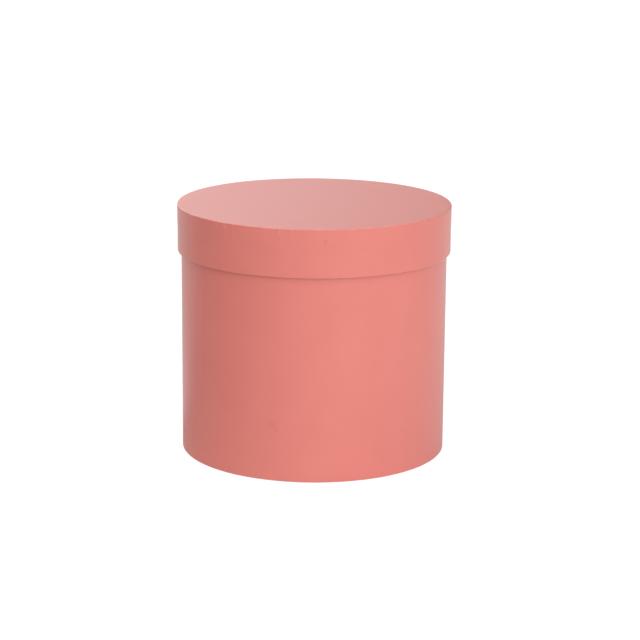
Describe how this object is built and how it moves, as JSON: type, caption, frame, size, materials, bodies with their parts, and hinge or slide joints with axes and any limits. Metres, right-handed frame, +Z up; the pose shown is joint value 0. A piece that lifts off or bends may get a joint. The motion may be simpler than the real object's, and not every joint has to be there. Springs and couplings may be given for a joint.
{
  "type": "round flower box",
  "caption": "Round rigid flower box, coral paper over greyboard, with a lift-off lid whose deep skirt sleeves over the wall; lined inside.",
  "frame": {"origin": "centre of the box's underside, on the surface it stands on", "axes": "+Z up along the box's axis, the way the lid lifts off; +Y towards the back, where the paper seams are"},
  "size_m": [0.2, 0.2, 0.183],
  "materials": {
    "coral_paper": "satin",
    "lining_paper": "matte",
    "greyboard": "matte",
    "kraft_tape": "matte"
  },
  "bodies": {
    "box": {"wall_board": "greyboard", "wall_joint_tape": "kraft_tape", "base_board": "greyboard", "wall_wrap": "coral_paper", "wall_lining": "lining_paper", "floor_lining": "lining_paper", "base_cover": "coral_paper"},
    "lid": {"lid_board": "greyboard", "skirt_board": "greyboard", "skirt_joint_tape": "kraft_tape", "lid_top_wrap": "coral_paper", "skirt_wrap": "coral_paper", "skirt_lining": "lining_paper", "ceiling_lining": "lining_paper"}
  },
  "joints": [
    {"name": "lid_lift", "type": "slide", "parent": "box", "child": "lid", "axis": [0, 0, 1], "range_m": [0, 0.12]}
  ]
}
